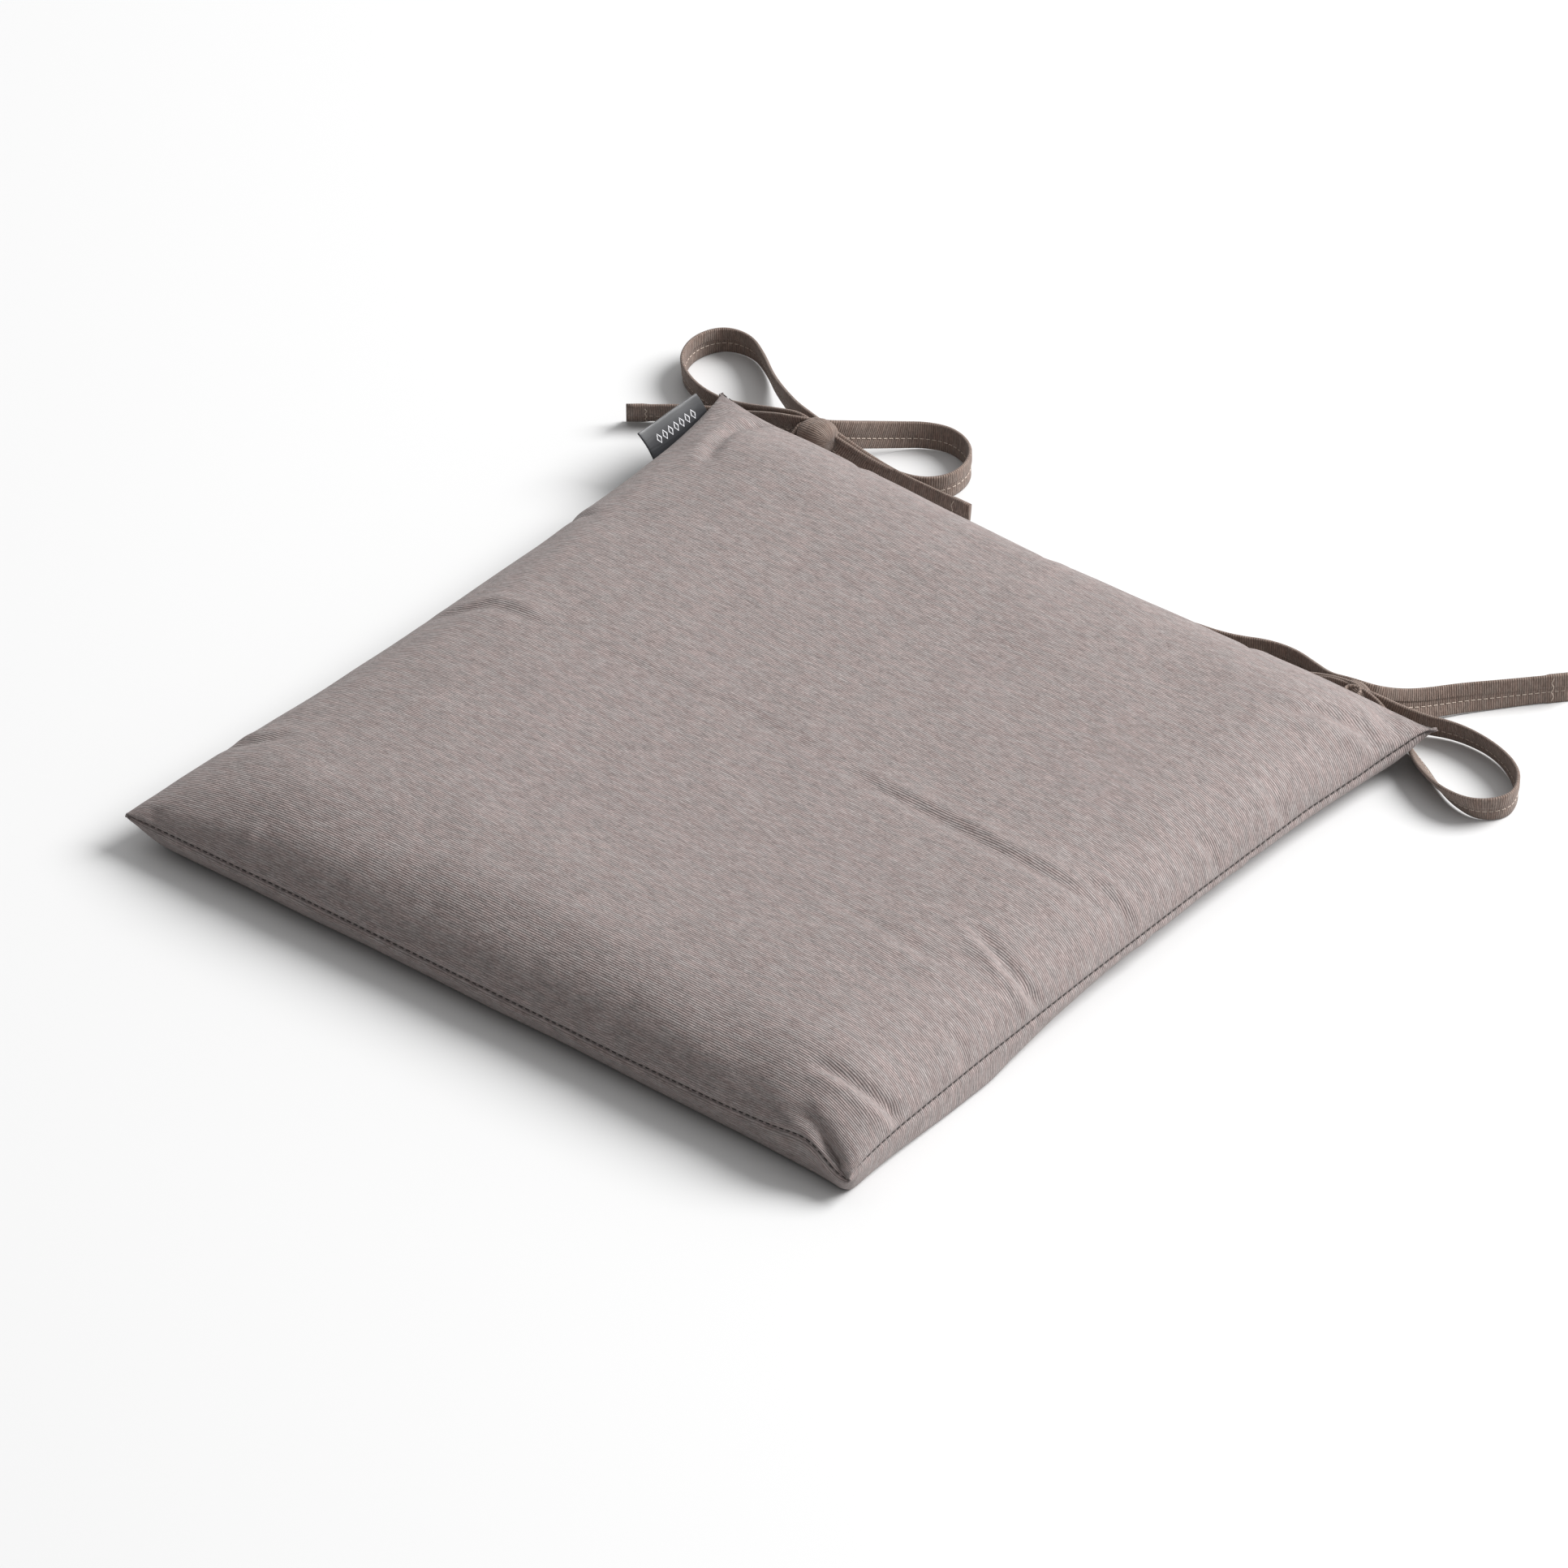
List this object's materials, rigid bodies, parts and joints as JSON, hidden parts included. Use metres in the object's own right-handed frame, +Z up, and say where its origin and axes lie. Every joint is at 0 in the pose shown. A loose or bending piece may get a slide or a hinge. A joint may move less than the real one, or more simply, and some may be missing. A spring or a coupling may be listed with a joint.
{
  "type": "chair seat pad",
  "caption": "Square knife-edge chair seat pad with a foam filling, flat ties bowed at the rear corners and a folded side label.",
  "frame": {"origin": "middle of the flat underside, on the surface that the pad rests on", "axes": "+Z up out of the seat, +Y to the rear edge that carries the ties, +X to the right seen from the front edge, so the label is on the left edge"},
  "size_m": [0.5697, 0.5507, 0.055],
  "materials": {
    "cover_cloth": "matt heathered taupe, fine ribs",
    "tie_cloth": "matt taupe, ribs across the tape, pale stitching",
    "seam_thread": "matt dark thread",
    "foam": "open-cell foam",
    "wadding": "soft white fibre",
    "label_satin": "black satin weave with a pale woven motif"
  },
  "bodies": {
    "root": {"top_panel": "cover_cloth", "bottom_panel": "cover_cloth", "seam_thread": "seam_thread", "foam_core": "foam", "upper_wadding": "wadding", "lower_wadding": "wadding", "side_label": "label_satin", "left_inner_tie": "tie_cloth", "left_outer_tie": "tie_cloth", "right_inner_tie": "tie_cloth", "right_outer_tie": "tie_cloth", "left_bow_knot": "tie_cloth", "right_bow_knot": "tie_cloth"}
  },
  "joints": []
}
